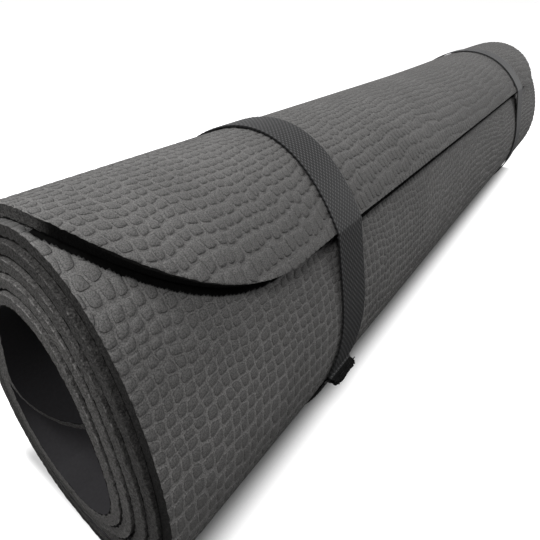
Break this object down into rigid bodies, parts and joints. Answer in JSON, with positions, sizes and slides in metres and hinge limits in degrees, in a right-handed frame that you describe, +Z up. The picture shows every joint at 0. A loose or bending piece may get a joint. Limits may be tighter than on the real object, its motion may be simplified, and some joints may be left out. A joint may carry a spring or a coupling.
{
  "type": "rolled foam camping mat",
  "caption": "Closed-cell foam camping mat with rounded corners, wound into a loose oval roll and held by sewn elastic bands that slide along it.",
  "frame": {"origin": "middle of the roll's footprint, on the surface that it stands on", "axes": "+Y along the roll, from its front end to its rear end; +Z up; +X to the right, seen from the front end"},
  "size_m": [0.1372, 0.6208, 0.1482],
  "materials": {
    "foam": "matt charcoal EVA foam with a pebble embossing",
    "elastic": "woven black elastic",
    "thread": "black sewing thread"
  },
  "bodies": {
    "mat": {"mat": "foam"},
    "front_band": {"front_band": "elastic", "front_band_thread": "thread"},
    "rear_band": {"rear_band": "elastic", "rear_band_thread": "thread"}
  },
  "joints": [
    {"name": "front_band_slide", "type": "slide", "parent": "mat", "child": "front_band", "axis": [0, 1, 0], "range_m": [-0.148, 0.163]},
    {"name": "rear_band_slide", "type": "slide", "parent": "mat", "child": "rear_band", "axis": [0, 1, 0], "range_m": [-0.175, 0.14]}
  ]
}
